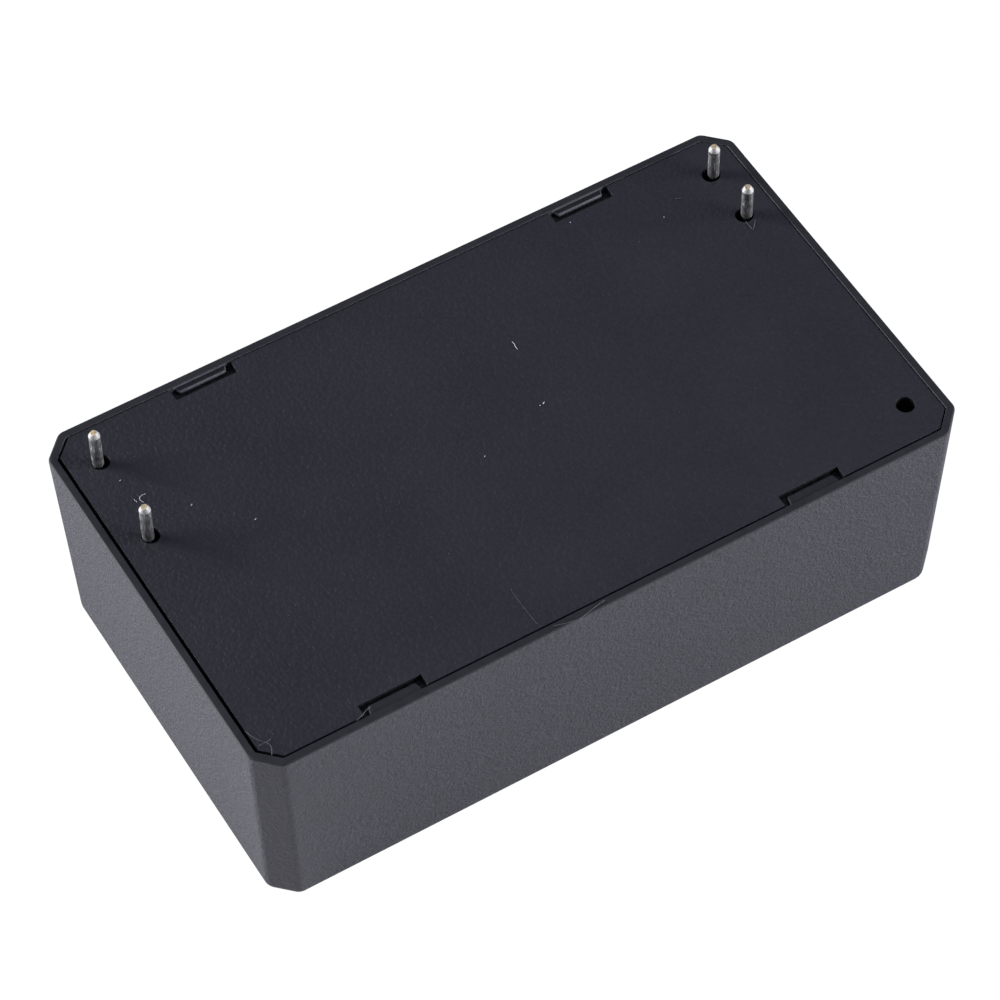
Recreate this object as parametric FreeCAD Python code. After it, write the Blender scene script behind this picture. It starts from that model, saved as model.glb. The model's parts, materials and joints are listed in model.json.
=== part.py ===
import FreeCAD, Part
import math
import os
from FreeCAD import Vector

# Board-mount power supply, encapsulated type, shown as it lies on its closed face.
# Millimetres. +Z points to the pin side, z = 0 is the closed face of the case,
# the origin is the middle of the closed face and +X runs along the long side.

# Case: one moulding with a flat on each upright corner.
case_length = 87.0          # at the open rim
case_width = 50.0           # at the open rim
case_height = 28.5
corner_cut = 2.7            # leg of the corner flats, at the rim
draft_deg = 2.0             # the sides lean in towards the closed face
closed_edge_r = 2.5         # round along the edges of the closed face
upright_edge_r = 0.8        # small round where the flats meet the sides
rim_edge_r = 0.25           # round along the rim's outer edge
wall = 1.7
floor_thickness = 1.8
floor_inner_r = 1.0
rim_width = 0.95            # lip that surrounds the base plate

# Base plate: closes the pin side and rests on the shoulder inside the rim.
plate_thickness = 1.6
plate_recess = 0.1          # the plate lies this far below the rim
plate_gap = 0.28            # groove between plate and rim
plate_edge_break = 0.08     # small bevel along the plate's upper edges
skirt_height = 0.9          # locating rib under the plate
skirt_width = 1.0
skirt_gap = 0.3
boss_r = 2.0                # the bosses hold the circuit board down on its ribs
boss_shares = [(-0.70, 0.77), (0.63, 0.77), (-0.76, -0.77), (0.78, -0.58)]

# Snap joints: a nose inside the rim holds a ledge in each notch of the plate.
# The four stand at unequal distances from the middle, so the plate fits one way only.
near_input_snap_x = 27.0
near_output_snap_x = 24.4
far_snap_x = 24.0
notch_length = 7.55
notch_depth = 1.45          # measured from the plate's edge
notch_drop = 0.8            # ledge below the plate's top face
nose_length = 6.6           # at the wall
nose_end_taper = 0.45
nose_reach = 0.72           # beyond the rim's inner face
nose_top_drop = 0.2         # top of the nose below the rim, at the wall
nose_lead_in = 0.3          # the nose's top slopes down by this much

# Pins: the wider pair is the mains input, the closer pair the output.
pin_d = 1.3
input_pin_rise = 5.3        # above the rim
output_pin_rise = 4.6
pin_tip_d = 0.6
pin_tip_height = 0.6
pin_stem_d = 0.9            # inside the case, from the board to the plate's top face
pin_collar_d = 2.4
pin_collar_height = 0.8
pin_tail_gap = 0.1          # round the stem, in the board
pin_tail_length = 1.8       # from the collar down
pin_side_distance = 4.5     # pin axis to the short side of the case
pin_far_distance = 5.8      # outermost pin axis to the long side of the case
pin_hole_d = 2.1
pin_hole_inboard = 0.3      # the holes sit this much nearer the middle than the pins
input_pitch = 11.4
output_pitch = 6.9
round_hole_d = 2.15
round_hole_outboard = 0.35  # nearer the short side than the pin holes

# Circuit board: rests on the case ribs, its parts hang towards the closed face.
board_thickness = 1.6
board_headroom = 2.6        # board to the underside of the base plate
board_gap = 0.35            # board edge to the case wall
rib_width = 1.6
rib_reach = 1.9             # beyond the case wall
long_rib_shares = [-0.584, 0.083, 0.759]
short_rib_share = -0.072

# Levels and half sizes that the rest is placed by.
slope = math.tan(math.radians(draft_deg))
half_x = case_length / 2.0
half_y = case_width / 2.0
plate_top_z = case_height - plate_recess
plate_seat_z = plate_top_z - plate_thickness
board_top_z = plate_seat_z - board_headroom
board_z = board_top_z - board_thickness
room = board_z - floor_thickness


def lean(z):
    """How far the draft has brought the four sides in at this level."""
    return slope * (case_height - z)


def outline_points(inset, z, drawn_in=0.0):
    """Corners of the rim's outline moved in all round; the draft keeps the flats' width."""
    cut = corner_cut - inset * (2.0 - math.sqrt(2.0))
    x = half_x - inset - drawn_in
    y = half_y - inset - drawn_in
    corners = [(-x, -y + cut), (-x + cut, -y), (x - cut, -y), (x, -y + cut),
               (x, y - cut), (x - cut, y), (-x + cut, y), (-x, y - cut)]
    return [Vector(a, b, z) for a, b in corners]


def flat_face(points):
    return Part.Face(Part.makePolygon(points + points[:1]))


def prism(inset, z_low, z_high, drawn_in=0.0):
    """Upright-walled block that follows the case outline."""
    outline = outline_points(inset, z_low, drawn_in)
    return flat_face(outline).extrude(Vector(0, 0, z_high - z_low))


def tapered(inset, z_low, z_high):
    """Drafted block with flat sides that follows the case outline."""
    low = outline_points(inset, z_low, lean(z_low))
    high = outline_points(inset, z_high, lean(z_high))
    faces = [flat_face(low[::-1]), flat_face(high)]
    for i in range(len(low)):
        j = (i + 1) % len(low)
        faces.append(flat_face([low[i], low[j], high[j], high[i]]))
    shell = Part.makeShell(faces)
    shell.sewShape()
    return Part.makeSolid(shell)


def box(x0, x1, y0, y1, z0, z1):
    return Part.makeBox(x1 - x0, y1 - y0, z1 - z0, Vector(x0, y0, z0))


def centred_box(x, y, size_x, size_y, z0, z1):
    return box(x - size_x / 2.0, x + size_x / 2.0, y - size_y / 2.0, y + size_y / 2.0, z0, z1)


def cylinder(d, x, y, z0, z1):
    return Part.makeCylinder(d / 2.0, z1 - z0, Vector(x, y, z0))


def ring(outer_d, inner_d, x, y, z0, z1):
    return cylinder(outer_d, x, y, z0, z1).cut(cylinder(inner_d, x, y, z0, z1))


def turned(outline, axis):
    """Solid of revolution about an axis through the origin; outline holds (radius, along)."""
    if axis.x > 0.5:
        points = [Vector(along, radius, 0) for radius, along in outline]
    else:
        points = [Vector(radius, 0, along) for radius, along in outline]
    return flat_face(points).revolve(Vector(0, 0, 0), axis, 360)


def edges_at(shape, z):
    """Edges that lie wholly in the plane z."""
    found = []
    for edge in shape.Edges:
        bounds = edge.BoundBox
        if abs(bounds.ZMin - z) < 1e-6 and abs(bounds.ZMax - z) < 1e-6:
            found.append(edge)
    return found


def climbing_edges(shape):
    """Edges that run up the corners, their curved ends in the lower round included."""
    found = []
    for edge in shape.Edges:
        bounds = edge.BoundBox
        if bounds.ZMax - bounds.ZMin > 0.25 * closed_edge_r:
            found.append(edge)
    return found


def snap_places():
    """Centre x and side of the case (-1 or 1 along Y) of the four snap joints."""
    return [(-near_input_snap_x, -1), (near_output_snap_x, -1),
            (-far_snap_x, 1), (far_snap_x, 1)]


def pin_places():
    """Name, side of the case (-1 or 1 along X), y and rise above the rim of the four pins."""
    far_y = half_y - pin_far_distance
    return [("pin_line", -1, far_y, input_pin_rise),
            ("pin_neutral", -1, far_y - input_pitch, input_pin_rise),
            ("pin_positive", 1, far_y, output_pin_rise),
            ("pin_negative", 1, far_y - output_pitch, output_pin_rise)]


def make_snap_nose(x, side):
    """Catch on the inside of the rim: sloping top, tapered ends, flat underside."""
    root_y = half_y - rim_width
    inside_wall = root_y + rim_width / 2.0
    tip_y = root_y - nose_reach
    top = case_height - nose_top_drop
    under = plate_top_z - notch_drop
    start = x - nose_length / 2.0
    end = x + nose_length / 2.0
    section = [(inside_wall, under), (inside_wall, top), (root_y, top),
               (tip_y, top - nose_lead_in), (tip_y, under)]
    bar = flat_face([Vector(start, y, z) for y, z in section])
    bar = bar.extrude(Vector(nose_length, 0, 0))
    plan = [(start, inside_wall), (start, root_y), (start + nose_end_taper, tip_y),
            (end - nose_end_taper, tip_y), (end, root_y), (end, inside_wall)]
    outline = flat_face([Vector(a, b, under) for a, b in plan])
    nose = bar.common(outline.extrude(Vector(0, 0, case_height - under)))
    if side < 0:
        nose = nose.mirror(Vector(0, 0, 0), Vector(0, 1, 0))
    return nose


def make_board_ribs():
    """Ribs that stand on the case floor and carry the circuit board."""
    wall_inset = wall + lean(board_z)
    foot_z = floor_thickness / 2.0
    ribs = []
    for side in (-1, 1):
        y0, y1 = sorted((side * (half_y - wall_inset - rib_reach), side * half_y))
        for share in long_rib_shares:
            ribs.append(centred_box(share * half_x, (y0 + y1) / 2.0, rib_width, y1 - y0,
                                    foot_z, board_z))
        x0, x1 = sorted((side * (half_x - wall_inset - rib_reach), side * half_x))
        ribs.append(centred_box((x0 + x1) / 2.0, short_rib_share * half_y, x1 - x0, rib_width,
                                foot_z, board_z))
    core = tapered(wall / 2.0, foot_z, board_z)
    return [rib.common(core) for rib in ribs]


def make_case():
    body = tapered(0.0, 0.0, case_height)
    body = body.makeFillet(closed_edge_r, edges_at(body, 0.0))
    body = body.makeFillet(upright_edge_r, climbing_edges(body))
    body = body.makeFillet(rim_edge_r, edges_at(body, case_height))
    cavity = tapered(wall, floor_thickness, case_height)
    cavity = cavity.makeFillet(floor_inner_r, edges_at(cavity, floor_thickness))
    body = body.cut(cavity)
    body = body.cut(prism(rim_width, plate_seat_z, case_height + 1.0))
    for rib in make_board_ribs():
        body = body.fuse(rib)
    for x, side in snap_places():
        body = body.fuse(make_snap_nose(x, side))
    return body.removeSplitter()


def make_plate():
    edge_inset = rim_width + plate_gap
    edge_y = half_y - edge_inset
    body = prism(edge_inset, plate_seat_z, plate_top_z)
    for x, side in snap_places():
        y0, y1 = sorted((side * (edge_y - notch_depth), side * half_y))
        body = body.cut(centred_box(x, (y0 + y1) / 2.0, notch_length, y1 - y0,
                                    plate_top_z - notch_drop, case_height))
    body = body.makeChamfer(plate_edge_break, edges_at(body, plate_top_z))
    skirt_low = plate_seat_z - skirt_height
    skirt_inset = wall + skirt_gap
    skirt = prism(skirt_inset, skirt_low, plate_seat_z, lean(skirt_low))
    skirt = skirt.cut(prism(skirt_inset + skirt_width, skirt_low, plate_seat_z, lean(skirt_low)))
    body = body.fuse(skirt)
    for share_x, share_y in boss_shares:
        boss = cylinder(2 * boss_r, share_x * half_x, share_y * half_y, board_top_z, plate_seat_z)
        body = body.fuse(boss)
    hole_x = half_x - pin_side_distance - pin_hole_inboard
    for name, side, y, rise in pin_places():
        body = body.cut(cylinder(pin_hole_d, side * hole_x, y, board_top_z, case_height))
    near_y = -(half_y - pin_far_distance)
    body = body.cut(cylinder(round_hole_d, hole_x + round_hole_outboard, near_y,
                             board_top_z, case_height))
    return body.removeSplitter()


def make_pin(side, y, rise):
    """Round pin: stem with a collar on the board, thicker shaft outside, blunt cone."""
    collar_z = board_top_z + pin_collar_height
    tip_z = case_height + rise
    tail_z = board_top_z - pin_tail_length
    outline = [(0, tail_z), (pin_stem_d / 2.0, tail_z), (pin_stem_d / 2.0, board_top_z),
               (pin_collar_d / 2.0, board_top_z), (pin_collar_d / 2.0, collar_z),
               (pin_stem_d / 2.0, collar_z), (pin_stem_d / 2.0, plate_top_z),
               (pin_d / 2.0, plate_top_z), (pin_d / 2.0, tip_z - pin_tip_height),
               (pin_tip_d / 2.0, tip_z), (0, tip_z)]
    pin = turned(outline, Vector(0, 0, 1))
    pin.translate(Vector(side * (half_x - pin_side_distance), y, 0))
    return pin


def make_board():
    body = prism(wall + board_gap, board_z, board_top_z, lean(board_z))
    for name, side, y, rise in pin_places():
        body = body.cut(cylinder(pin_stem_d + 2 * pin_tail_gap,
                                 side * (half_x - pin_side_distance), y, board_z, board_top_z))
    return body


# Parts on the board. Their places and sizes are shares of the case's half length and
# half width and of the room between board and case floor, so they follow its size.
# Places are (x, y); block sizes are (x, y, height); round sizes are (diameter, height).
fuse_place = (-0.802, 0.54)
fuse_size = (0.32, 0.41)
varistor_place = (-0.795, 0.064)
varistor_size = (0.36, 0.092)
thermistor_place = (-0.795, -0.336)
thermistor_size = (0.32, 0.083)
film_capacitor_place = (-0.75, -0.68)
film_capacitor_size = (0.30, 0.24, 0.58)
bridge_place = (-0.653, -0.212)
bridge_size = (0.083, 0.58, 0.53)
bridge_corner = 1.8
choke_place = (-0.483, 0.48)
choke_core_size = (0.60, 0.337)
choke_hole = 0.32
choke_carrier_size = (0.32, 0.56, 0.106)
choke_wire_layer = 1.2
choke_winding_deg = 130.0
bulk_start = -0.552
bulk_y = -0.496
bulk_size = (0.70, 0.575)
bulk_bead = 0.7
transformer_place = (0.356, 0.0)
core_size = (0.60, 1.04, 0.553)
core_back = 0.092
core_outer_leg = 0.14
core_centre_leg = 0.32
core_top_gap = 0.154
bobbin_wall = 0.9
bobbin_flange = 1.2
bobbin_side_gap = 0.3
winding_layer = 0.173
winding_margin = 0.4
winding_corner_r = 1.5
thermal_pad_size = (0.46, 0.80)
package_size = (0.23, 0.176)
package_step = (1.2, 0.37)
package_standoff = 2.0
package_fold_gap = 0.5
package_lead = (0.8, 0.5)
package_pitch = 2.54
heatsink_thickness = 1.5
heatsink_height = 0.913
transistor_x = -0.11
transistor_back = 0.688
transistor_heatsink = (-0.086, 0.356)
rectifier_x = 0.345
rectifier_back = -0.784
rectifier_heatsink = (0.414, 0.506)
safety_capacitor_place = (0.2345, 0.72)
safety_capacitor_size = (0.32, 0.168)
coupler_place = (0.474, 0.72)
coupler_size = (0.106, 0.256, 0.173)
output_capacitor_x = 0.805
output_capacitor_y = [0.16, -0.304]
output_capacitor_size = (0.40, 0.77)
output_capacitor_bead = 0.55
inductor_place = (0.768, 0.576)
inductor_size = (0.344, 0.48)
inductor_flange = 1.4
inductor_neck = 0.535
inductor_winding = 0.885
controller_place = (-0.092, 0.06)
controller_size = (4.9, 3.9, 1.5)
controller_lead = (0.42, 1.0, 0.25)
controller_pitch = 1.27
controller_lead_count = 4


def place(shares):
    return shares[0] * half_x, shares[1] * half_y


def hung_block(shares, size):
    x, y = place(shares)
    return centred_box(x, y, size[0] * half_x, size[1] * half_y, board_z - size[2] * room, board_z)


def make_fuse():
    x, y = place(fuse_place)
    return cylinder(fuse_size[0] * half_y, x, y, board_z - fuse_size[1] * room, board_z)


def make_disc(shares, size, axis):
    """Coated disc on edge under the board; size is (diameter by Y, thickness by axis)."""
    x, y = place(shares)
    r = size[0] * half_y / 2.0
    thickness = size[1] * (half_x if axis.x > 0.5 else half_y)
    middle = Vector(x, y, board_z - r)
    return Part.makeCylinder(r, thickness, middle - axis * (thickness / 2.0), axis)


def make_bridge():
    """Flat inline block with one corner taken off to mark its positive lead."""
    body = hung_block(bridge_place, bridge_size)
    bounds = body.BoundBox
    x0 = bounds.XMin
    y0 = bounds.YMin
    z0 = bounds.ZMin
    corner = flat_face([Vector(x0, y0, z0), Vector(x0, y0 + bridge_corner, z0),
                        Vector(x0, y0, z0 + bridge_corner)])
    return body.cut(corner.extrude(Vector(bounds.XLength, 0, 0)))


def make_choke():
    """Carrier, toroid and its two windings."""
    x, y = place(choke_place)
    carrier = hung_block(choke_place, choke_carrier_size)
    carrier_z = carrier.BoundBox.ZMin
    core_d = choke_core_size[0] * min(half_y, half_x * 0.575)
    hole_d = choke_hole * min(half_y, half_x * 0.575)
    core_top = carrier_z - choke_wire_layer
    core_low = core_top - choke_core_size[1] * room
    core = ring(core_d, hole_d, x, y, core_low, core_top)
    coat = ring(core_d + 2 * choke_wire_layer, hole_d - 2 * choke_wire_layer,
                x, y, core_low - choke_wire_layer, carrier_z)
    coat = coat.cut(core)
    windings = []
    for middle in (90.0, 270.0):
        points = [Vector(x, y, core_low - choke_wire_layer)]
        for share in (-0.5, 0.0, 0.5):
            angle = math.radians(middle + share * choke_winding_deg)
            away = Vector(math.cos(angle), math.sin(angle), 0) * (2.0 * core_d)
            points.append(points[0] + away)
        sector = flat_face(points).extrude(Vector(0, 0, case_height))
        windings.append(coat.common(sector))
    return carrier, core, windings


def make_bulk_capacitor():
    """Lying can with a rolled bead near its lead end."""
    r = min(bulk_size[0] * half_y, 0.85 * room) / 2.0
    length = bulk_size[1] * half_x
    bead_at = 0.11 * length
    outline = [(0, 0), (r, 0), (r, bead_at - bulk_bead), (r - bulk_bead, bead_at),
               (r, bead_at + bulk_bead), (r, length - bulk_bead), (r - bulk_bead, length),
               (0, length)]
    can = turned(outline, Vector(1, 0, 0))
    can.translate(Vector(bulk_start * half_x, bulk_y * half_y, board_z - r))
    return can


def transformer_frame():
    """Middle x and y, half length, and the lower and upper level of the ferrite core."""
    x, y = place(transformer_place)
    high = board_z - core_top_gap * room
    return x, y, core_size[0] * half_x / 2.0, high - core_size[2] * room, high


def make_core_half(side):
    """Half of the ferrite core: back, two outer legs and the centre leg."""
    x, y, half_length, low, high = transformer_frame()
    width = core_size[1] * half_y
    x0, x1 = sorted((x, x + side * half_length))
    w0, w1 = sorted((x, x + side * (half_length - core_back * half_x)))
    half = box(x0, x1, y - width / 2.0, y + width / 2.0, low, high)
    for sign in (-1, 1):
        y0, y1 = sorted((y + sign * core_centre_leg * half_y / 2.0,
                         y + sign * (width / 2.0 - core_outer_leg * half_y)))
        half = half.cut(box(w0, w1, y0, y1, low, high))
    return half


def make_bobbin():
    """Spool on the centre leg, with feet that stand on the board."""
    x, y, half_length, low, high = transformer_frame()
    back = core_back * half_x
    inner = half_length - back
    leg_y = core_centre_leg * half_y / 2.0
    flange_y = (core_size[1] / 2.0 - core_outer_leg) * half_y - bobbin_side_gap
    flange_low = low - bobbin_wall - winding_layer * room
    body = box(x - inner, x + inner, y - leg_y - bobbin_wall, y + leg_y + bobbin_wall,
               low - bobbin_wall, high + bobbin_wall)
    for side in (-1, 1):
        a, b = sorted((x + side * inner, x + side * (inner - bobbin_flange)))
        body = body.fuse(box(a, b, y - flange_y, y + flange_y, flange_low, board_z))
    body = body.cut(box(x - inner, x + inner, y - leg_y, y + leg_y, low, high))
    for side in (-1, 1):
        a, b = sorted((x + side * half_length, x + side * (inner - bobbin_flange)))
        body = body.fuse(box(a, b, y - flange_y, y + flange_y, high, board_z))
    return body.removeSplitter()


def make_winding():
    x, y, half_length, low, high = transformer_frame()
    reach = half_length - core_back * half_x - bobbin_flange
    inner_y = core_centre_leg * half_y / 2.0 + bobbin_wall
    outer_y = ((core_size[1] / 2.0 - core_outer_leg) * half_y
               - bobbin_side_gap - winding_margin)
    barrel_low = low - bobbin_wall
    barrel_high = high + bobbin_wall
    outer = box(x - reach, x + reach, y - outer_y, y + outer_y,
                barrel_low - winding_layer * room + winding_margin, board_z - winding_margin)
    long_edges = [e for e in outer.Edges if e.BoundBox.XLength > reach]
    outer = outer.makeFillet(winding_corner_r, long_edges)
    return outer.cut(box(x - reach, x + reach, y - inner_y, y + inner_y,
                         barrel_low, barrel_high))


def make_thermal_pad():
    """Soft pad that fills the space between the transformer and the case floor."""
    x, y, half_length, low, high = transformer_frame()
    return centred_box(x, y, thermal_pad_size[0] * half_x, thermal_pad_size[1] * half_y,
                       floor_thickness, low - bobbin_wall - winding_layer * room)


def make_package(x_share, back_share, facing):
    """Three-legged power package with its back on a heatsink; facing is its front's side."""
    x = x_share * half_x
    back = back_share * half_y
    width = package_size[0] * half_x
    thickness = package_size[1] * half_y
    high = board_z - package_standoff
    low = board_z - heatsink_height * room + heatsink_thickness + package_fold_gap
    front = back + facing * thickness
    y0, y1 = sorted((back, front))
    body = box(x - width / 2.0, x + width / 2.0, y0, y1, low, high)
    y0, y1 = sorted((front, front - facing * package_step[0]))
    step_z = low + package_step[1] * (high - low)
    body = body.cut(box(x - width / 2.0, x + width / 2.0, y0, y1, low, step_z))
    lead_y = back + facing * thickness / 2.0
    for index in (-1, 0, 1):
        body = body.fuse(centred_box(x + index * package_pitch, lead_y, package_lead[0],
                                     package_lead[1], high, board_z))
    return body


def make_heatsink(shares, back_share, facing):
    """Sheet plate on edge; its lower end folds under the power package."""
    x = shares[0] * half_x
    length = shares[1] * half_x
    back = back_share * half_y
    low = board_z - heatsink_height * room
    y0, y1 = sorted((back, back - facing * heatsink_thickness))
    body = centred_box(x, (y0 + y1) / 2.0, length, heatsink_thickness, low, board_z)
    f0, f1 = sorted((back, back + facing * package_size[1] * half_y))
    fold = centred_box(x, (f0 + f1) / 2.0, length, f1 - f0, low, low + heatsink_thickness)
    return body.fuse(fold).removeSplitter()


def make_output_capacitor(y_share):
    """Standing can with a rolled bead near the board."""
    r = output_capacitor_size[0] * half_y / 2.0
    height = output_capacitor_size[1] * room
    bead_at = 0.14 * height
    bead = output_capacitor_bead
    outline = [(0, 0), (r, 0), (r, -bead_at + bead), (r - bead, -bead_at), (r, -bead_at - bead),
               (r, -height), (0, -height)]
    can = turned(outline, Vector(0, 0, 1))
    can.translate(Vector(output_capacitor_x * half_x, y_share * half_y, board_z))
    return can


def make_inductor():
    """Ferrite drum and the copper wound on its neck."""
    x, y = place(inductor_place)
    d = inductor_size[0] * half_y
    low = board_z - inductor_size[1] * room
    neck = inductor_neck * d
    neck_low = low + inductor_flange
    neck_high = board_z - inductor_flange
    drum = cylinder(d, x, y, low, board_z).cut(ring(d, neck, x, y, neck_low, neck_high))
    return drum, ring(inductor_winding * d, neck, x, y, neck_low, neck_high)


def make_controller():
    """Small surface-mount package on the pin side of the board."""
    x, y = place(controller_place)
    size_x, size_y, size_z = controller_size
    lead_width, lead_reach, lead_thickness = controller_lead
    body = centred_box(x, y, size_x, size_y, board_top_z + lead_thickness / 2.0,
                       board_top_z + size_z)
    for index in range(controller_lead_count):
        lead_x = x + (index - (controller_lead_count - 1) / 2.0) * controller_pitch
        body = body.fuse(centred_box(lead_x, y, lead_width, size_y + 2 * lead_reach,
                                     board_top_z, board_top_z + lead_thickness))
    return body


def build():
    along_x = Vector(1, 0, 0)
    along_y = Vector(0, 1, 0)
    nodes = {"case": make_case(), "base_plate": make_plate(), "circuit_board": make_board()}
    for name, side, y, rise in pin_places():
        nodes[name] = make_pin(side, y, rise)
    nodes["fuse"] = make_fuse()
    nodes["varistor"] = make_disc(varistor_place, varistor_size, along_x)
    nodes["inrush_thermistor"] = make_disc(thermistor_place, thermistor_size, along_x)
    nodes["safety_capacitor"] = make_disc(safety_capacitor_place, safety_capacitor_size, along_y)
    nodes["film_capacitor"] = hung_block(film_capacitor_place, film_capacitor_size)
    nodes["bridge_rectifier"] = make_bridge()
    carrier, core, windings = make_choke()
    nodes["choke_carrier"] = carrier
    nodes["choke_core"] = core
    nodes["choke_winding_line"] = windings[0]
    nodes["choke_winding_neutral"] = windings[1]
    nodes["bulk_capacitor"] = make_bulk_capacitor()
    nodes["transformer_core_input_half"] = make_core_half(-1)
    nodes["transformer_core_output_half"] = make_core_half(1)
    nodes["transformer_bobbin"] = make_bobbin()
    nodes["transformer_winding"] = make_winding()
    nodes["thermal_pad"] = make_thermal_pad()
    nodes["switching_transistor"] = make_package(transistor_x, transistor_back, -1)
    nodes["transistor_heatsink"] = make_heatsink(transistor_heatsink, transistor_back, -1)
    nodes["output_rectifier"] = make_package(rectifier_x, rectifier_back, 1)
    nodes["rectifier_heatsink"] = make_heatsink(rectifier_heatsink, rectifier_back, 1)
    nodes["optocoupler"] = hung_block(coupler_place, coupler_size)
    nodes["output_capacitor_a"] = make_output_capacitor(output_capacitor_y[0])
    nodes["output_capacitor_b"] = make_output_capacitor(output_capacitor_y[1])
    nodes["output_inductor_core"], nodes["output_inductor_winding"] = make_inductor()
    nodes["controller"] = make_controller()
    return nodes


os.makedirs("parts", exist_ok=True)
for node_name, shape in build().items():
    if len(shape.Solids) == 1:
        shape = shape.Solids[0]
    shape.exportStep("parts/" + node_name + ".step")
    print(node_name, len(shape.Solids), shape.isValid(), round(shape.Volume, 1))
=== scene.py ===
import json
import math
import random

import bmesh
import bpy
from mathutils import Matrix, Vector


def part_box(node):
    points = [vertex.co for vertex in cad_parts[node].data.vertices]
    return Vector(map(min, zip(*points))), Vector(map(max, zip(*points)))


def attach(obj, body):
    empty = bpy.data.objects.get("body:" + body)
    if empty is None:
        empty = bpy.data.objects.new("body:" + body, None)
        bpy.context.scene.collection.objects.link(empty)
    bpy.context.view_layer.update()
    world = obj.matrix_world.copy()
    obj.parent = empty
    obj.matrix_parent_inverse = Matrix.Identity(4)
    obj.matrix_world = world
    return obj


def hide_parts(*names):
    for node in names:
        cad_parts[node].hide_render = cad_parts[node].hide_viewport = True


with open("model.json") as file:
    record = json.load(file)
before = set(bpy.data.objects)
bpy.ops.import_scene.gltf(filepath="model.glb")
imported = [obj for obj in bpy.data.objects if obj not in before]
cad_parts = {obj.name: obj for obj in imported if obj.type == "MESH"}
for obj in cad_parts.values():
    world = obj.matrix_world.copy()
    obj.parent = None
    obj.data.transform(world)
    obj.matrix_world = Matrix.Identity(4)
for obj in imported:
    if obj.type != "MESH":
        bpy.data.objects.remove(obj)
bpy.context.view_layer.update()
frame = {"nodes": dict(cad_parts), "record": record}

# Board-mount power supply lying on its closed face, pins up. Metres, in the CAD frame:
# z = 0 is the closed face, +X runs along the long side, the input pins are at -X.
MM = 0.001
SEED = 31

case_low, case_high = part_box("case")
plate_low, plate_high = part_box("base_plate")
half_x = case_high.x
half_y = case_high.y
rim_z = case_high.z
plate_z = plate_high.z

corner_cut = 2.7 * MM
lean = 0.995 * MM            # draft of the sides over the case height
closed_edge_r = 2.5 * MM
upright_edge_r = 0.45 * MM
rim_edge_r = 0.25 * MM
rim_width = 0.95 * MM
wall = 1.7 * MM
floor_thickness = 1.8 * MM
plate_seat_z = 26.8 * MM
board_z = 22.6 * MM
board_top_z = 24.2 * MM
plate_edge = 0.11 * MM       # soft edge round the plate's top face
plate_shift = 0.14 * MM      # the plate sits towards the far right corner of the case
rim_inner_edge = 0.06 * MM

nose_length = 6.6 * MM
nose_end_taper = 0.45 * MM
nose_reach = {-1: 1.30 * MM, 1: 0.76 * MM}   # near and far side
nose_top_drop = {-1: 0.24 * MM, 1: 0.34 * MM}
nose_lead_in = 0.08 * MM
nose_edge_r = 0.2 * MM
notch_length = 7.55 * MM
notch_depth = 1.45 * MM
notch_drop = 0.8 * MM
snap_joints = [(-27.0 * MM, -1), (24.4 * MM, -1), (-24.0 * MM, 1), (24.0 * MM, 1)]
witness_places = [(-22.1, -1), (18.4, -1), (35.6, -1), (-17.6, 1), (18.1, 1)]

pin_hole_r = 1.05 * MM
round_hole_r = 1.075 * MM
round_hole = (39.05 * MM, -19.2 * MM)
pin_hole_inboard = 0.3 * MM
pin_names = ["pin_line", "pin_neutral", "pin_positive", "pin_negative"]


# Modelling by hand: start a piece, pick its faces or edges by place, shape it.

def deselect():
    bpy.ops.object.select_all(action="DESELECT")


def block(name, low, high):
    """A box between two corners, ready for edit mode."""
    deselect()
    low = Vector(low)
    high = Vector(high)
    bpy.ops.mesh.primitive_cube_add(size=1.0, location=(low + high) / 2.0, scale=high - low)
    bpy.ops.object.transform_apply(location=True, rotation=True, scale=True)
    piece = bpy.context.object
    piece.name = name
    return piece


def rod(name, x, y, low, high, radius, sides=48):
    deselect()
    bpy.ops.mesh.primitive_cylinder_add(vertices=sides, radius=radius, depth=high - low,
                                        location=(x, y, (low + high) / 2.0))
    bpy.ops.object.transform_apply(location=True, rotation=True, scale=True)
    piece = bpy.context.object
    piece.name = name
    return piece


def pick(piece, kind, test):
    """Selects in edit mode the faces or edges that pass the test, and nothing else."""
    bpy.ops.mesh.select_mode(type={"faces": "FACE", "edges": "EDGE", "verts": "VERT"}[kind])
    bpy.ops.mesh.select_all(action="DESELECT")
    mesh = bmesh.from_edit_mesh(piece.data)
    for part in getattr(mesh, kind):
        if test(part):
            part.select_set(True)
    bmesh.update_edit_mesh(piece.data)


def middle(edge):
    return (edge.verts[0].co + edge.verts[1].co) / 2.0


def at_level(edge, z, slack=1e-6):
    return all(abs(v.co.z - z) < slack for v in edge.verts)


def upright(edge):
    a, b = (v.co for v in edge.verts)
    return abs(a.z - b.z) > 1e-4 and (a - b).to_2d().length < 0.1 * abs(a.z - b.z)


def round_off(width, segments):
    bpy.ops.mesh.bevel(offset=width, offset_type="OFFSET", segments=segments, affect="EDGES",
                       clamp_overlap=True)


def edit(piece):
    deselect()
    piece.select_set(True)
    bpy.context.view_layer.objects.active = piece
    bpy.ops.object.mode_set(mode="EDIT")


def leave():
    bpy.ops.object.mode_set(mode="OBJECT")


def sink(z_from, z_to, size=(1.0, 1.0, 1.0)):
    """Pushes the picked face down to a new level and draws its outline in or out."""
    bpy.ops.mesh.extrude_region_move(TRANSFORM_OT_translate={"value": (0, 0, z_to - z_from)})
    bpy.ops.transform.resize(value=size, center_override=(0, 0, 0))


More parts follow.
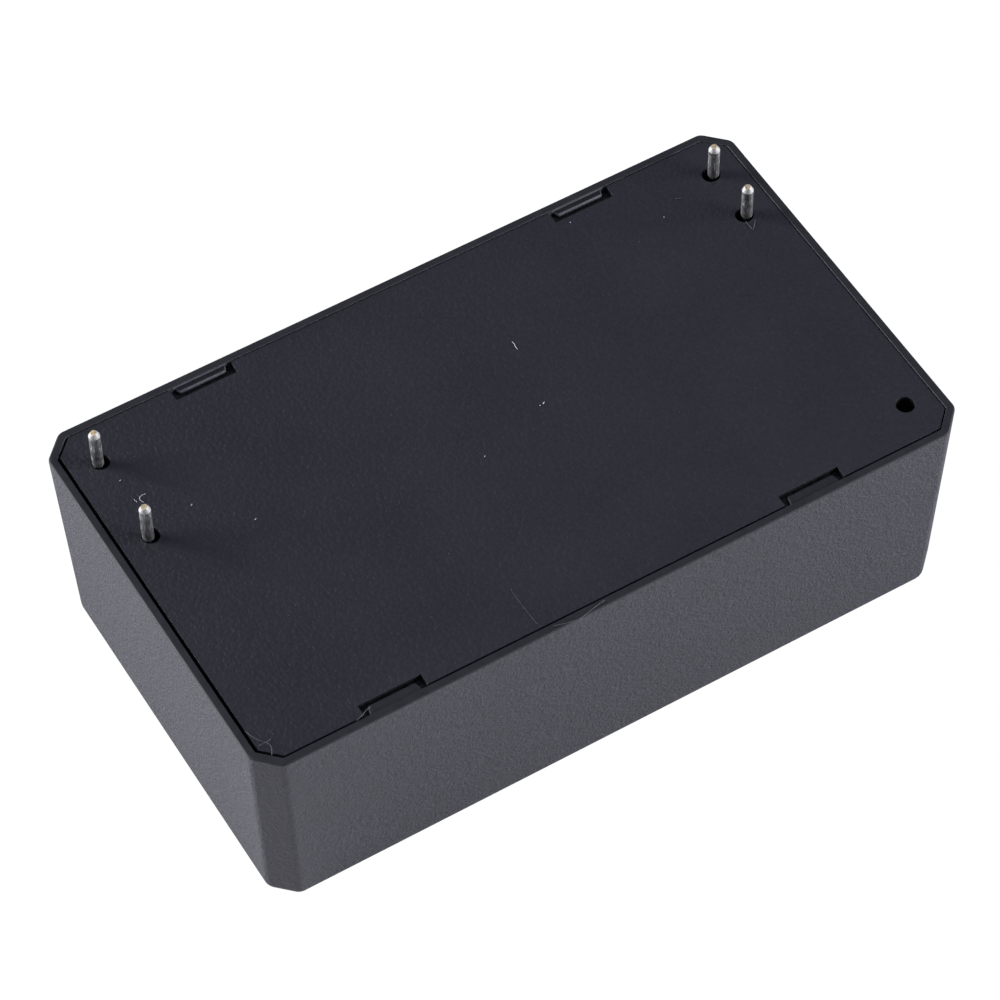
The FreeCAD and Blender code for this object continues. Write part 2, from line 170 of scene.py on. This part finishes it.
def cut_away(piece, cutter):
    """Takes the cutter's shape out of the piece and deletes the cutter."""
    deselect()
    piece.select_set(True)
    bpy.context.view_layer.objects.active = piece
    made = piece.modifiers.new("cut", "BOOLEAN")
    made.operation = "DIFFERENCE"
    made.solver = "EXACT"
    made.object = cutter
    bpy.ops.object.modifier_apply(modifier=made.name)
    bpy.data.objects.remove(cutter)


def join(piece, others):
    deselect()
    for other in others:
        other.select_set(True)
    piece.select_set(True)
    bpy.context.view_layer.objects.active = piece
    bpy.ops.object.join()
    return piece


def give_faces(piece, common, special, is_special):
    """One finish for the piece and a second one for the faces that pass a test."""
    piece.data.materials.clear()
    piece.data.materials.append(finishes[common])
    piece.data.materials.append(finishes[special])
    for face in piece.data.polygons:
        face.material_index = 1 if is_special(face) else 0


def finish_piece(piece, slot, *replaced):
    """Smooth shading, its body and the CAD nodes it stands for; the slot argument is not used."""
    deselect()
    piece.select_set(True)
    bpy.context.view_layer.objects.active = piece
    bpy.ops.object.shade_smooth_by_angle(angle=math.radians(35))
    flat = piece.modifiers.new("flat faces", "WEIGHTED_NORMAL")
    flat.keep_sharp = True
    flat.weight = 100
    bpy.ops.object.modifier_apply(modifier=flat.name)
    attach(piece, "root")
    if replaced:
        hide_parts(*replaced)


def corner_leg(inset):
    return corner_cut - inset * (2.0 - math.sqrt(2.0))


def octagon_block(name, inset, low, high, drawn_in=0.0):
    """Block with flats on its upright corners that follows the case outline."""
    x = half_x - inset - drawn_in
    y = half_y - inset - drawn_in
    piece = block(name, (-x, -y, low), (x, y, high))
    edit(piece)
    pick(piece, "edges", upright)
    bpy.ops.mesh.bevel(offset=corner_leg(inset), offset_type="OFFSET", segments=1, affect="EDGES")
    leave()
    return piece


def witness_line(x, side):
    """Low ridge across the rim where two mould inserts met."""
    outer = side * (half_y - rim_edge_r)
    inner = side * (half_y - rim_width + rim_inner_edge)
    return block("witness", (x - 0.05 * MM, min(outer, inner), rim_z - 0.2 * MM),
                 (x + 0.05 * MM, max(outer, inner), rim_z + 0.012 * MM))


def snap_nose(x, side):
    """Catch inside the rim: sloping top, tapered ends, softened edges."""
    root = side * (half_y - rim_width)
    tip = root - side * nose_reach[side]
    inside = root + side * rim_width / 2.0
    top = rim_z - nose_top_drop[side]
    low = min(tip, inside)
    high = max(tip, inside)
    piece = block("nose", (x - nose_length / 2.0, low, plate_z - notch_drop),
                  (x + nose_length / 2.0, high, top))
    edit(piece)
    pick(piece, "verts", lambda v: abs(v.co.y - tip) < 1e-6)
    narrow = (nose_length - 2.0 * nose_end_taper) / nose_length
    bpy.ops.transform.resize(value=(narrow, 1.0, 1.0), center_override=(x, tip, top))
    pick(piece, "verts", lambda v: abs(v.co.y - tip) < 1e-6 and abs(v.co.z - top) < 1e-6)
    bpy.ops.transform.translate(value=(0.0, 0.0, -nose_lead_in))
    pick(piece, "edges", lambda e: any(abs(v.co.y - tip) < 1e-6 for v in e.verts))
    round_off(nose_edge_r, 4)
    leave()
    strip = sorted((root - side * 0.02 * MM, inside))
    back = block("wall_strip", (x - nose_length / 2.0, strip[0], top - 0.2 * MM),
                 (x + nose_length / 2.0, strip[1], rim_z - rim_inner_edge))
    return join(piece, [back])


def board_ribs():
    """Ribs that stand on the case floor and carry the circuit board."""
    drawn_in = lean * (rim_z - board_z) / rim_z
    reach = wall + drawn_in + 1.9 * MM
    ribs = []
    for side in (-1, 1):
        for x in (-25.4 * MM, 3.6 * MM, 33.0 * MM):
            edge = side * (half_y - wall - lean)
            inner = side * (half_y - reach)
            ribs.append(block("rib", (x - 0.8 * MM, min(edge, inner), floor_thickness),
                              (x + 0.8 * MM, max(edge, inner), board_z)))
        edge = side * (half_x - wall - lean)
        inner = side * (half_x - reach)
        ribs.append(block("rib", (min(edge, inner), -2.6 * MM, floor_thickness),
                          (max(edge, inner), -1.0 * MM, board_z)))
    return ribs


def model_case():
    piece = octagon_block("case_moulding", 0.0, 0.0, rim_z)
    narrower = ((half_x - lean) / half_x, (half_y - lean) / half_y, 1.0)
    edit(piece)
    pick(piece, "faces", lambda f: f.normal.z < -0.9)
    bpy.ops.transform.resize(value=narrower, center_override=(0, 0, 0))
    pick(piece, "edges", lambda e: at_level(e, 0.0))
    round_off(closed_edge_r, 10)
    pick(piece, "edges", lambda e: e.calc_face_angle(0.0) > math.radians(30)
         and not at_level(e, rim_z) and not at_level(e, 0.0, 1e-5))
    round_off(upright_edge_r, 3)
    pick(piece, "edges", lambda e: at_level(e, rim_z))
    round_off(rim_edge_r, 4)
    pick(piece, "faces", lambda f: f.normal.z > 0.99 and abs(f.calc_center_median().z - rim_z) < 1e-6)
    bpy.ops.mesh.inset(thickness=rim_width - rim_edge_r, depth=0.0, use_even_offset=True)
    sink(rim_z, plate_seat_z)
    bpy.ops.mesh.inset(thickness=wall - rim_width, depth=0.0, use_even_offset=True)
    inner_x = half_x - wall
    inner_y = half_y - wall
    sink(plate_seat_z, floor_thickness, ((inner_x - lean) / inner_x, (inner_y - lean) / inner_y, 1.0))
    pick(piece, "edges", lambda e: at_level(e, rim_z) and abs(middle(e).x) < half_x - 0.6 * rim_width
         and abs(middle(e).y) < half_y - 0.6 * rim_width and e.calc_face_angle(0.0) > 1.0)
    round_off(rim_inner_edge, 3)
    leave()
    give_faces(piece, "case_plastic", "case_smooth", lambda f: f.normal.z >= 0.5 or not (
        abs(f.center.x) > half_x - lean - 0.7 * MM or abs(f.center.y) > half_y - lean - 0.7 * MM
        or f.center.z < 1.7 * MM or abs(f.center.x) + abs(f.center.y)
        > half_x + half_y - corner_cut - 2.0 * lean - 1.0 * MM))
    noses = [snap_nose(x, side) for x, side in snap_joints]
    # Painted highlight: on the far side the catches' sloping and upright faces and the rim wall behind them get a
    # lighter finish.
    for nose, (x, side) in zip(noses, snap_joints):
        give_faces(nose, "case_smooth", "case_catch_painted_highlight", lambda f: side > 0 and f.normal.z < 0.97)
    plain = [witness_line(x * MM, side) for x, side in witness_places] + board_ribs()
    for added in plain:
        give_faces(added, "case_smooth", "case_smooth", lambda f: False)
    join(piece, noses + plain)
    finish_piece(piece, "case_plastic", "case")


def pin_spots():
    """Middle of each pin in plan, read from its CAD node, and its top."""
    spots = []
    for name in pin_names:
        low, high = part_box(name)
        spots.append((name, (low.x + high.x) / 2.0, (low.y + high.y) / 2.0, high.z))
    return spots


def model_plate():
    inset = half_x - plate_high.x
    piece = octagon_block("plate_moulding", inset, plate_seat_z, plate_z)
    edit(piece)
    pick(piece, "verts", lambda v: True)
    bpy.ops.transform.translate(value=(plate_shift, 0.0, 0.0))
    pick(piece, "verts", lambda v: v.co.y > 0.0)
    bpy.ops.transform.translate(value=(0.0, plate_shift, 0.0))
    leave()
    edge_y = half_y - inset
    for x, side in snap_joints:
        inner = side * (edge_y - notch_depth)
        outer = side * (half_y + 1.0 * MM)
        cutter = block("notch", (x - notch_length / 2.0, min(inner, outer), plate_z - notch_drop),
                       (x + notch_length / 2.0, max(inner, outer), rim_z + 1.0 * MM))
        cut_away(piece, cutter)
    for name, x, y, top in pin_spots():
        hole_x = x - math.copysign(pin_hole_inboard, x)
        cut_away(piece, rod("hole", hole_x, y, plate_low.z, rim_z + 1.0 * MM, pin_hole_r))
    cut_away(piece, rod("hole", *round_hole, plate_low.z, rim_z + 1.0 * MM, round_hole_r))
    edit(piece)
    pick(piece, "edges", lambda e: at_level(e, plate_z, 1e-7) and e.calc_face_angle(0.0) > 1.0)
    round_off(plate_edge, 3)
    leave()
    bosses = [rod("boss", share_x * half_x, share_y * half_y, board_top_z, plate_seat_z + 0.2 * MM,
                  2.0 * MM, 40)
              for share_x, share_y in ((-0.70, 0.77), (0.63, 0.77), (-0.76, -0.77), (0.78, -0.58))]
    # Painted highlight: the rounded near-side notch edges that face up and to the front get a lighter finish than
    # the plate.
    notch_edge = -(edge_y - notch_depth)
    give_faces(piece, "plate_plastic", "plate_corner_painted_highlight", lambda f: abs(f.center.y - notch_edge) < plate_edge
               and 0.2 < f.normal.z < 0.9 and f.normal.y < -0.3)
    plain = bosses + [model_skirt()]
    for added in plain:
        give_faces(added, "plate_plastic", "plate_plastic", lambda f: False)
    join(piece, plain)
    finish_piece(piece, "plate_plastic", "base_plate")


def model_skirt():
    """Locating rib under the plate."""
    low = plate_seat_z - 0.9 * MM
    drawn_in = lean * (rim_z - low) / rim_z
    piece = octagon_block("skirt", 2.0 * MM, low, plate_seat_z + 0.1 * MM, drawn_in)
    cut_away(piece, octagon_block("skirt_inside", 3.0 * MM, low - 1.0 * MM,
                                  plate_seat_z + 1.0 * MM, drawn_in))
    return piece


def model_pin(name, x, y, top, chance):
    """Turned pin: stem and collar inside, shaft outside, domed tip with a sheared end."""
    radius = 0.65 * MM
    piece = rod(name + "_turned", x, y, plate_z, top - 0.6 * MM, radius, 40)
    edit(piece)
    pick(piece, "faces", lambda f: f.normal.z > 0.9)
    for rise, ratio in ((0.06, 0.97), (0.34, 0.70), (0.14, 0.84), (0.06, 0.84)):
        bpy.ops.mesh.extrude_region_move(TRANSFORM_OT_translate={"value": (0, 0, rise * MM)})
        bpy.ops.transform.resize(value=(ratio, ratio, 1.0), center_override=(x, y, 0))
    slant = math.radians(chance.uniform(6.0, 11.0))
    bpy.ops.transform.translate(value=(-0.05 * MM, -0.01 * MM, -0.02 * MM))
    bpy.ops.transform.rotate(value=slant, orient_axis="Y", center_override=(x, y, top - 0.05 * MM))
    pick(piece, "faces", lambda f: f.normal.z < -0.9)
    stem_ratio = 0.45 / 0.65
    bpy.ops.mesh.inset(thickness=radius * (1.0 - stem_ratio))
    sink(plate_z, 25.0 * MM)
    bpy.ops.mesh.extrude_region_move(TRANSFORM_OT_translate={"value": (0, 0, 0)})
    bpy.ops.transform.resize(value=(1.2 / 0.45, 1.2 / 0.45, 1.0), center_override=(x, y, 0))
    bpy.ops.mesh.extrude_region_move(TRANSFORM_OT_translate={"value": (0, 0, -0.8 * MM)})
    bpy.ops.mesh.extrude_region_move(TRANSFORM_OT_translate={"value": (0, 0, 0)})
    bpy.ops.transform.resize(value=(0.45 / 1.2, 0.45 / 1.2, 1.0), center_override=(x, y, 0))
    bpy.ops.mesh.extrude_region_move(TRANSFORM_OT_translate={"value": (0, 0, -1.8 * MM)})
    leave()
    piece.data.materials.clear()
    piece.data.materials.append(finishes["tinned_pin"])
    piece.data.materials.append(finishes["pin_cone_painted_highlight"])
    piece.data.materials.append(finishes["pin_end"])
    # Painted highlight: the cone of the tip gets a lighter, less metallic finish than the shaft; the flat cut end
    # is bare brass.
    for face in piece.data.polygons:
        if face.center.z > top - 0.6 * MM:
            face.material_index = 2 if face.normal.z > 0.9 and face.center.z > top - 0.2 * MM else 1
    finish_piece(piece, "tinned_pin", name)


# Dust and lint that lie on the plate and the rim: place in millimetres, length in millimetres.
specks = [(-38.1, 15.9, 0.36), (-33.1, 9.1, 0.42), (-35.7, 8.5, 0.22), (-14.1, 11.2, 0.2), (-24.0, 20.2, 0.24),
          (-28.2, 3.9, 0.34), (-3.2, -1.6, 0.3), (5.4, 1.2, 0.26), (5.9, 1.3, 0.5), (-1.3, 5.1, 0.16),
          (-5.4, 1.6, 0.16), (-14.1, -2.1, 0.14), (-16.0, -3.9, 0.16), (-13.0, -10.7, 0.18),
          (-9.4, -11.6, 0.16), (-15.3, -14.9, 0.14), (-31.3, -8.8, 0.2), (-28.1, -11.4, 0.16),
          (-23.8, 2.6, 0.16), (-23.7, -7.3, 0.16), (-4.7, -6.3, 0.16), (30.9, 16.7, 0.3),
          (26.6, 15.1, 0.24), (21.6, 21.5, 0.3), (15.9, 16.5, 0.14), (11.6, 16.3, 0.14), (28.6, 9.3, 0.16),
          (18.0, 8.3, 0.16), (22.3, 2.4, 0.14), (35.9, 11.1, 0.2), (8.9, -7.4, 0.16), (17.7, -7.4, 0.2),
          (4.5, -18.5, 0.16), (12.5, -21.1, 0.16), (11.1, -23.2, 0.16), (31.3, -11.4, 0.18),
          (37.1, -16.1, 0.18), (-39.9, -20.9, 0.2)]
bright_threads = 3
threads = [
    [(7.3, 10.3, 0.0), (7.38, 9.9, 0.1), (7.2, 9.5, 0.12), (7.3, 9.1, 0.0)],
    [(-36.6, 12.9, 0.0), (-37.1, 12.95, 0.1), (-37.5, 12.65, 0.12), (-37.5, 12.3, 0.1), (-37.3, 12.0, 0.0)],
    [(-38.0, 12.9, 0.0), (-37.95, 12.6, 0.05), (-37.9, 12.4, 0.0)],
    [(33.4, 18.3, 0.0), (33.7, 18.1, 0.05), (34.0, 18.0, 0.0)],
    [(38.3, 11.4, 0.0), (38.3, 10.6, 0.05), (38.3, 9.9, 0.0), (38.8, 10.4, 0.05), (39.3, 11.0, 0.0)],
    [(-8.5, -24.45, 0.25), (-7.2, -24.9, 0.3), (-5.6, -25.1, 0.1), (-4.2, -24.8, 0.3), (-2.2, -24.4, 0.2)],
    [(-42.2, -19.2, 0.2), (-41.9, -20.6, 0.3), (-41.1, -21.4, 0.15), (-40.7, -22.3, 0.3), (-41.3, -23.2, 0.2)],
    [(-40.4, -21.3, 0.0), (-41.0, -21.6, 0.25), (-41.9, -21.5, 0.2)],
    [(-31.8, -24.0, 0.15), (-31.0, -23.8, 0.25), (-30.3, -23.4, 0.2), (-29.7, -23.2, 0.0)],
    [(-9.8, -17.9, -0.055), (-9.9, -20.5, -0.055), (-9.7, -23.2, -0.055)],
]


def model_dust():
    """Flat flakes, each turned its own way, joined into one piece."""
    chance = random.Random(SEED)
    flakes = []
    for x, y, length in specks:
        deselect()
        bpy.ops.mesh.primitive_ico_sphere_add(subdivisions=1, radius=0.5 * MM)
        flake = bpy.context.object
        flake.scale = (0.8 * length, max(0.09, 0.3 * length), 0.06)
        flake.rotation_euler = (0.0, 0.0, chance.uniform(0.0, math.pi))
        flake.location = (x * MM, y * MM, plate_z + 0.03 * MM)
        bpy.ops.object.transform_apply(location=True, rotation=True, scale=True)
        flakes.append(flake)
        flake.data.materials.append(finishes["dust"])
        flake.data.materials.append(finishes["lint"])
        for face in flake.data.polygons:
            face.material_index = 0 if length > 0.25 else 1
    piece = join(flakes[0], flakes[1:])
    piece.name = "plate_dust"
    finish_piece(piece, "plate_plastic")


def model_lint():
    """Fine fibres that lie on the plate, as one mesh."""
    drawn = bpy.data.curves.new("plate_lint", "CURVE")
    drawn.dimensions = "3D"
    drawn.bevel_depth = 0.03 * MM
    drawn.materials.append(finishes["dust"])
    drawn.materials.append(finishes["lint"])
    drawn.materials.append(finishes["scuff"])
    drawn.bevel_resolution = 1
    drawn.resolution_u = 6
    drawn.use_fill_caps = True
    for number, thread in enumerate(threads):
        line = drawn.splines.new("NURBS")
        line.material_index = 0 if number < bright_threads else 2 if thread[0][2] < 0.0 else 1
        line.points.add(len(thread) - 1)
        for point, (x, y, lift) in zip(line.points, thread):
            point.co = (x * MM, y * MM, plate_z + (0.05 + lift) * MM, 1.0)
        line.use_endpoint_u = True
        line.order_u = 3
    made = bpy.data.objects.new("plate_lint", drawn)
    bpy.context.scene.collection.objects.link(made)
    deselect()
    made.select_set(True)
    bpy.context.view_layer.objects.active = made
    bpy.ops.object.convert(target="MESH")
    finish_piece(made, "plate_plastic")


# Materials.

def material(name):
    """A new material, its node tree and its surface shader."""
    made = bpy.data.materials.new(name)
    made.use_nodes = True
    return made, made.node_tree, made.node_tree.nodes["Principled BSDF"]


def node(tree, kind, **settings):
    made = tree.nodes.new(kind)
    for key, value in settings.items():
        setattr(made, key, value)
    return made


def object_coordinates(tree):
    return node(tree, "ShaderNodeTexCoord").outputs["Object"]


def noise(tree, coordinates, size_mm, detail=2.0, roughness=0.5):
    """Noise whose blobs are about size_mm across; gives a value round 0.5."""
    made = node(tree, "ShaderNodeTexNoise")
    made.inputs["Scale"].default_value = 1.0 / (size_mm * MM)
    made.inputs["Detail"].default_value = detail
    made.inputs["Roughness"].default_value = roughness
    tree.links.new(coordinates, made.inputs["Vector"])
    return made.outputs["Fac"]


def spread(tree, value, low, high, out_low=0.0, out_high=1.0):
    """Maps low..high to out_low..out_high, clamped."""
    made = node(tree, "ShaderNodeMapRange")
    made.inputs["From Min"].default_value = low
    made.inputs["From Max"].default_value = high
    made.inputs["To Min"].default_value = out_low
    made.inputs["To Max"].default_value = out_high
    tree.links.new(value, made.inputs["Value"])
    return made.outputs["Result"]


def combine(tree, operation, a, b):
    made = node(tree, "ShaderNodeMath", operation=operation)
    for socket, value in zip(made.inputs, (a, b)):
        if isinstance(value, (int, float)):
            socket.default_value = value
        else:
            tree.links.new(value, socket)
    return made.outputs["Value"]


def two_colours(tree, factor, first, second):
    made = node(tree, "ShaderNodeMix", data_type="RGBA")
    for socket, value in zip((made.inputs[6], made.inputs[7]), (first, second)):
        if isinstance(value, tuple):
            socket.default_value = (*value, 1.0)
        else:
            tree.links.new(value, socket)
    tree.links.new(factor, made.inputs[0])
    return made.outputs[2]


def bump(tree, shader, height, depth_mm):
    made = node(tree, "ShaderNodeBump")
    made.inputs["Distance"].default_value = depth_mm * MM
    tree.links.new(height, made.inputs["Height"])
    tree.links.new(made.outputs["Normal"], shader.inputs["Normal"])


def along(tree, coordinates, axis):
    made = node(tree, "ShaderNodeSeparateXYZ")
    tree.links.new(coordinates, made.inputs[0])
    return made.outputs[axis]


def case_plastic():
    """Black plastic with a spark-eroded grain that scatters light to a warm grey."""
    made, tree, shader = material("case_plastic")
    where = object_coordinates(tree)
    grain = noise(tree, where, 0.34, detail=3.0, roughness=0.62)
    pits = noise(tree, where, 0.85, detail=2.0)
    cloud = noise(tree, where, 11.0, detail=2.0)
    colour = two_colours(tree, spread(tree, grain, 0.32, 0.68), (0.017, 0.0165, 0.022), (0.046, 0.0445, 0.058))
    colour = two_colours(tree, spread(tree, cloud, 0.35, 0.7, 0.0, 0.25), colour, (0.023, 0.0225, 0.030))
    tree.links.new(colour, shader.inputs["Base Color"])
    tree.links.new(spread(tree, grain, 0.3, 0.7, 0.60, 0.74), shader.inputs["Roughness"])
    bump(tree, shader, combine(tree, "ADD", grain, combine(tree, "MULTIPLY", pits, 0.6)), 0.22)
    return made


def case_smooth():
    """The same plastic where the mould was polished: rim, catches and inside."""
    made, tree, shader = material("case_smooth")
    where = object_coordinates(tree)
    haze = noise(tree, where, 1.6, detail=3.0)
    colour = two_colours(tree, spread(tree, haze, 0.35, 0.7), (0.0075, 0.0081, 0.0115), (0.0103, 0.0110, 0.0155))
    tree.links.new(colour, shader.inputs["Base Color"])
    tree.links.new(spread(tree, haze, 0.3, 0.7, 0.58, 0.68), shader.inputs["Roughness"])
    shader.inputs["Specular IOR Level"].default_value = 0.35
    bump(tree, shader, haze, 0.01)
    return made


def plate_plastic():
    """Black plastic with a fine leather grain; painted shade darkens the holes and the underside."""
    made, tree, shader = material("plate_plastic")
    where = object_coordinates(tree)
    grain = noise(tree, where, 0.46, detail=2.0, roughness=0.45)
    fine = noise(tree, where, 0.22, detail=1.0)
    cloud = noise(tree, where, 14.0, detail=2.0)
    colour = two_colours(tree, spread(tree, cloud, 0.35, 0.7), (0.0078, 0.0080, 0.0128), (0.0110, 0.0112, 0.0163))
    # Painted shade: from 0.1 to 0.6 mm below the top face the colour goes to near black, standing in for the
    # shade in the holes, notch ledges and under the plate.
    painted_shade_below_top = spread(tree, along(tree, where, "Z"), plate_z - 0.1 * MM, plate_z - 0.6 * MM)
    colour = two_colours(tree, painted_shade_below_top, colour, (0.003, 0.003, 0.004))
    tree.links.new(colour, shader.inputs["Base Color"])
    tree.links.new(spread(tree, grain, 0.3, 0.7, 0.44, 0.54), shader.inputs["Roughness"])
    height = combine(tree, "ADD", grain, combine(tree, "MULTIPLY", fine, 0.25))
    bump(tree, shader, height, 0.13)
    return made


def tinned_pin():
    """Dull tin plate with drawn marks; the brighter tip is a painted highlight given by its own finish."""
    made, tree, shader = material("tinned_pin")
    where = object_coordinates(tree)
    mottle = noise(tree, where, 0.5, detail=3.0, roughness=0.6)
    stretched = node(tree, "ShaderNodeMapping")
    stretched.inputs["Scale"].default_value = (1.0, 1.0, 0.16)
    tree.links.new(where, stretched.inputs["Vector"])
    drawn = noise(tree, stretched.outputs["Vector"], 0.16, detail=2.0)
    colour = two_colours(tree, spread(tree, mottle, 0.35, 0.65), (0.13, 0.13, 0.135), (0.20, 0.20, 0.205))
    colour = two_colours(tree, spread(tree, drawn, 0.54, 0.70), colour, (0.46, 0.46, 0.47))
    tree.links.new(colour, shader.inputs["Base Color"])
    shader.inputs["Metallic"].default_value = 1.0
    tree.links.new(spread(tree, mottle, 0.3, 0.7, 0.46, 0.62), shader.inputs["Roughness"])
    bump(tree, shader, combine(tree, "ADD", mottle, drawn), 0.02)
    return made


def pin_end():
    """Bare brass where the wire was cut."""
    made, tree, shader = material("pin_end")
    where = object_coordinates(tree)
    worn = noise(tree, where, 0.3, detail=2.0)
    colour = two_colours(tree, spread(tree, worn, 0.35, 0.65), (0.58, 0.44, 0.24), (0.78, 0.64, 0.38))
    tree.links.new(colour, shader.inputs["Base Color"])
    shader.inputs["Metallic"].default_value = 0.8
    tree.links.new(spread(tree, worn, 0.3, 0.7, 0.4, 0.55), shader.inputs["Roughness"])
    bump(tree, shader, worn, 0.02)
    return made


def plain_finish(name, low, high, roughness, metallic=0.0, size_mm=1.2, depth_mm=0.02):
    """Two tones, uneven gloss and a fine relief."""
    made, tree, shader = material(name)
    where = object_coordinates(tree)
    tone = noise(tree, where, size_mm, detail=3.0)
    tree.links.new(two_colours(tree, spread(tree, tone, 0.35, 0.65), low, high), shader.inputs["Base Color"])
    tree.links.new(spread(tree, tone, 0.3, 0.7, roughness - 0.06, roughness + 0.08), shader.inputs["Roughness"])
    shader.inputs["Metallic"].default_value = metallic
    bump(tree, shader, noise(tree, where, size_mm / 4.0, detail=2.0), depth_mm)
    return made


finishes = {
    "case_plastic": case_plastic(),
    "case_smooth": case_smooth(),
    "plate_plastic": plate_plastic(),
    "tinned_pin": tinned_pin(),
    "pin_end": pin_end(),
    "dust": plain_finish("dust", (0.30, 0.30, 0.34), (0.46, 0.46, 0.51), 0.8),
    # Painted highlight for the far catches' edges.
    "case_catch_painted_highlight": plain_finish("case_catch_painted_highlight", (0.070, 0.070, 0.084), (0.100, 0.100, 0.118), 0.42),
    # Painted highlight for the near notch edges.
    "plate_corner_painted_highlight": plain_finish("plate_corner_painted_highlight", (0.040, 0.040, 0.050), (0.060, 0.060, 0.072), 0.5),
    # Painted highlight for the pin tips' cones, on a duller, less metallic tin.
    "pin_cone_painted_highlight": plain_finish("pin_cone_painted_highlight", (0.27, 0.265, 0.265), (0.40, 0.39, 0.385), 0.58, 0.55, 0.5),
    "scuff": plain_finish("scuff", (0.022, 0.022, 0.028), (0.040, 0.040, 0.048), 0.6),
    "lint": plain_finish("lint", (0.045, 0.045, 0.056), (0.085, 0.085, 0.105), 0.7),
    "board_laminate": plain_finish("board_laminate", (0.03, 0.10, 0.05), (0.05, 0.15, 0.08), 0.35),
    "ferrite": plain_finish("ferrite", (0.035, 0.035, 0.038), (0.06, 0.06, 0.065), 0.6),
    "copper_winding": plain_finish("copper_winding", (0.48, 0.17, 0.06), (0.62, 0.26, 0.11), 0.3, 0.8),
    "winding_tape": plain_finish("winding_tape", (0.62, 0.48, 0.06), (0.76, 0.62, 0.11), 0.32),
    "bobbin_plastic": plain_finish("bobbin_plastic", (0.02, 0.02, 0.02), (0.04, 0.04, 0.04), 0.5),
    "package_epoxy": plain_finish("package_epoxy", (0.02, 0.02, 0.022), (0.04, 0.04, 0.042), 0.55),
    "heatsink_aluminium": plain_finish("heatsink_aluminium", (0.55, 0.56, 0.58), (0.66, 0.67, 0.69), 0.35, 1.0),
    "capacitor_sleeve": plain_finish("capacitor_sleeve", (0.03, 0.035, 0.07), (0.05, 0.055, 0.10), 0.3),
    "film_box": plain_finish("film_box", (0.62, 0.56, 0.38), (0.74, 0.70, 0.50), 0.35),
    "blue_coating": plain_finish("blue_coating", (0.03, 0.12, 0.34), (0.05, 0.18, 0.44), 0.35),
    "green_coating": plain_finish("green_coating", (0.04, 0.14, 0.05), (0.07, 0.21, 0.09), 0.4),
    "fuse_body": plain_finish("fuse_body", (0.16, 0.08, 0.05), (0.24, 0.13, 0.08), 0.35),
    "thermal_pad": plain_finish("thermal_pad", (0.38, 0.38, 0.40), (0.50, 0.50, 0.52), 0.7),
}


def dress_cad_nodes():
    slot_of = {part["node"]: part["material_slot"] for part in frame["record"]["subparts"]}
    for name, held in frame["nodes"].items():
        for piece in held if isinstance(held, (list, tuple)) else [held]:
            if not piece.material_slots:
                piece.data.materials.append(None)
            for place in piece.material_slots:
                place.material = finishes[slot_of[name]]


# Floor, lamps and camera.

def floor_material():
    """Pale floor: white to the camera with a faint shadow, plain matte to every other ray."""
    made, tree, shader = material("floor")
    shader.inputs["Base Color"].default_value = (0.80, 0.80, 0.81, 1.0)
    shader.inputs["Roughness"].default_value = 0.9
    shader.inputs["Specular IOR Level"].default_value = 0.1
    glow = node(tree, "ShaderNodeEmission")
    glow.inputs["Strength"].default_value = 1.06
    seen = node(tree, "ShaderNodeLightPath")
    mix = node(tree, "ShaderNodeMixShader")
    tree.links.new(combine(tree, "MULTIPLY", seen.outputs["Is Camera Ray"], 0.90), mix.inputs[0])
    tree.links.new(shader.outputs[0], mix.inputs[1])
    tree.links.new(glow.outputs[0], mix.inputs[2])
    tree.links.new(mix.outputs[0], tree.nodes["Material Output"].inputs["Surface"])
    return made


def add_floor():
    deselect()
    bpy.ops.mesh.primitive_plane_add(size=6.0, location=(0.0, 0.0, -0.02 * MM))
    floor = bpy.context.object
    floor.name = "floor"
    floor.data.materials.append(floor_material())


def add_lamp(name, place, size, power):
    """Square soft lamp aimed at the middle of the case."""
    lamp = bpy.data.lights.new(name, "AREA")
    lamp.size = size
    lamp.energy = power
    made = bpy.data.objects.new(name, lamp)
    made.location = place
    aim = Vector((0.0, 0.0, rim_z / 2.0)) - Vector(place)
    made.rotation_euler = aim.to_track_quat("-Z", "Y").to_euler()
    bpy.context.scene.collection.objects.link(made)


def set_world(colour, strength):
    world = bpy.data.worlds.new("studio")
    world.use_nodes = True
    world.node_tree.nodes["Background"].inputs["Color"].default_value = (*colour, 1.0)
    world.node_tree.nodes["Background"].inputs["Strength"].default_value = strength
    bpy.context.scene.world = world


def add_camera():
    """Camera of the photograph: place, and right, down and forward directions in the frame."""
    right = Vector((0.858451, -0.512738, -0.012737))
    down = Vector((-0.418845, -0.686486, -0.594396))
    forward = Vector((0.296025, 0.515594, -0.804072))
    lens = bpy.data.cameras.new("camera")
    lens.lens = 157.92
    lens.sensor_width = 36.0
    lens.clip_start = 0.01
    camera = bpy.data.objects.new("camera", lens)
    turn = Matrix((right, -down, -forward)).transposed().to_4x4()
    camera.matrix_world = Matrix.Translation((-0.142683, -0.247577, 0.402929)) @ turn
    bpy.context.scene.collection.objects.link(camera)
    bpy.context.scene.camera = camera


dress_cad_nodes()
model_case()
model_plate()
end_chance = random.Random(SEED)
for pin_name, pin_x, pin_y, pin_top in pin_spots():
    model_pin(pin_name, pin_x, pin_y, pin_top, end_chance)
model_dust()
model_lint()
add_floor()
add_lamp("lamp_left", (-0.74, 0.58, 0.26), 0.5, 22.0)
add_lamp("lamp_right", (0.60, -0.45, 0.24), 0.5, 11.0)
set_world((0.90, 0.94, 1.25), 0.24)
add_camera()
bpy.context.scene.view_settings.view_transform = "Standard"
